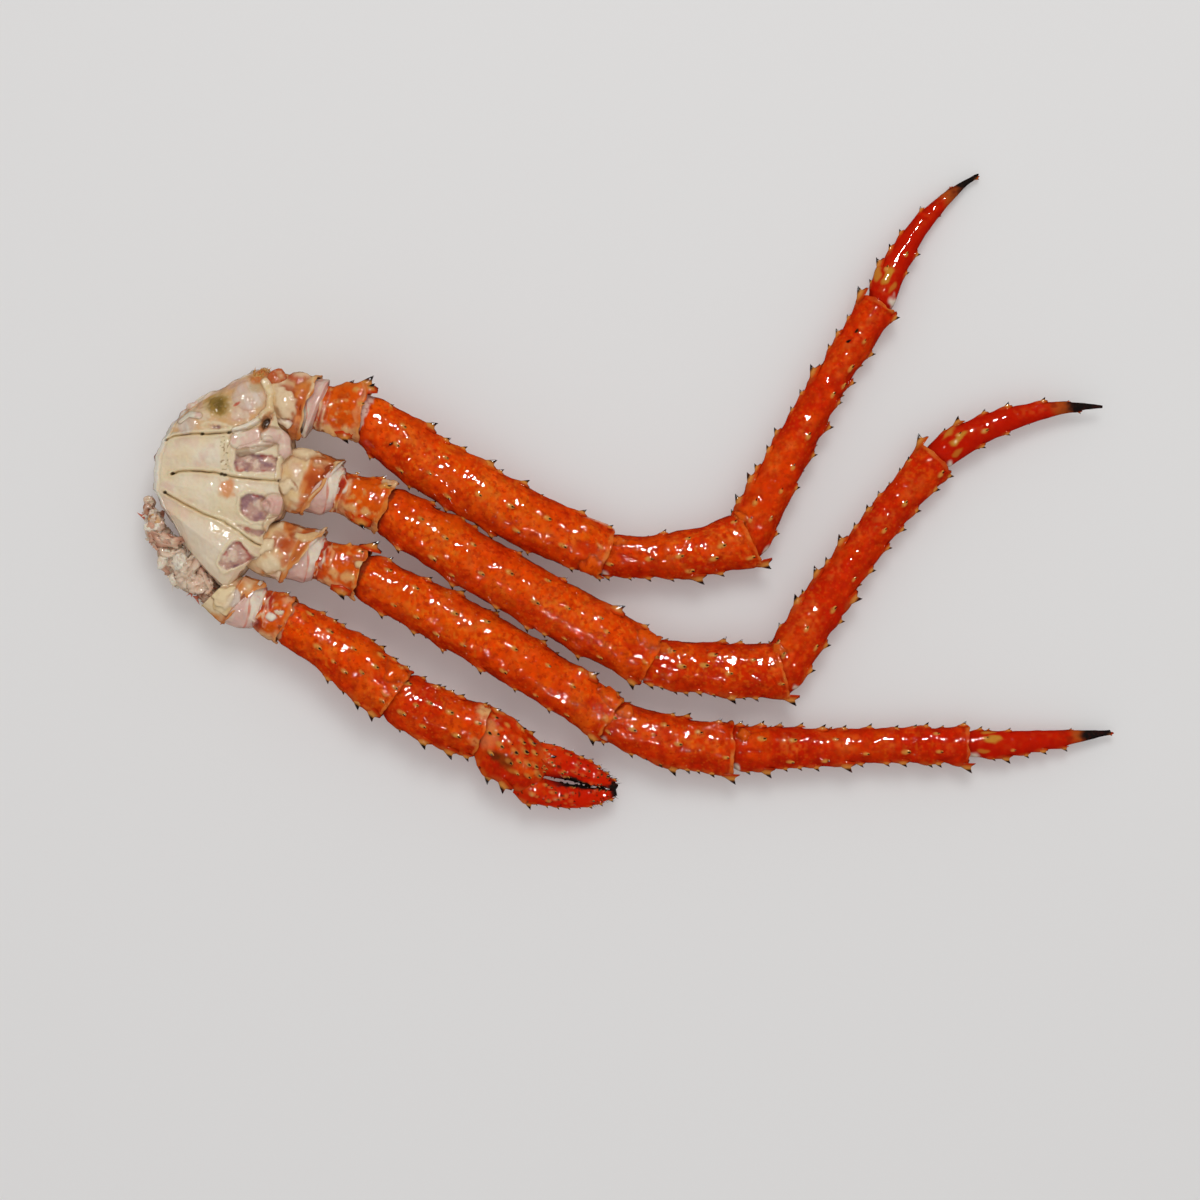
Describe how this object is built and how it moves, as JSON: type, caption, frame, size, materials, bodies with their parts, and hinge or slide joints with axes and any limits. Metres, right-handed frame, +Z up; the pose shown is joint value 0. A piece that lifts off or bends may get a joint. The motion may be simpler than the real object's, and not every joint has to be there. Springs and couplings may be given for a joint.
{
  "type": "king crab leg cluster",
  "caption": "Cooked crab leg cluster: spiny orange-red legs and a small claw joined at a pale cut shoulder, lying flat on its underside.",
  "frame": {"origin": "middle of the whole cluster's bounding box, on the surface it lies on", "axes": "+Z up, away from the surface; +X from the cut shoulder towards the leg tips; +Y towards the side of the hind leg, opposite the claw"},
  "size_m": [0.483, 0.3148, 0.0448],
  "materials": {
    "shell": "wet glossy orange-red shell with yellow-based, dark-tipped spines",
    "joint_skin": "moist pinkish-white joint skin",
    "shoulder_wall": "moist cream inner wall with pink windows and orange stains",
    "meat": "ragged moist grey-pink meat"
  },
  "bodies": {
    "root": {"claw_carpus": "shell", "claw_coxa": "shell", "claw_finger": "shell", "claw_ischium": "shell", "claw_merus": "shell", "claw_palm": "shell", "claw_skin": "joint_skin", "fore_carpus": "shell", "fore_coxa": "shell", "fore_dactyl": "shell", "fore_ischium": "shell", "fore_merus": "shell", "fore_propodus": "shell", "fore_skin": "joint_skin", "hind_carpus": "shell", "hind_coxa": "shell", "hind_dactyl": "shell", "hind_ischium": "shell", "hind_merus": "shell", "hind_propodus": "shell", "hind_skin": "joint_skin", "middle_carpus": "shell", "middle_coxa": "shell", "middle_dactyl": "shell", "middle_ischium": "shell", "middle_merus": "shell", "middle_propodus": "shell", "middle_skin": "joint_skin", "shoulder": "shoulder_wall", "shoulder_meat": "meat"}
  },
  "joints": []
}
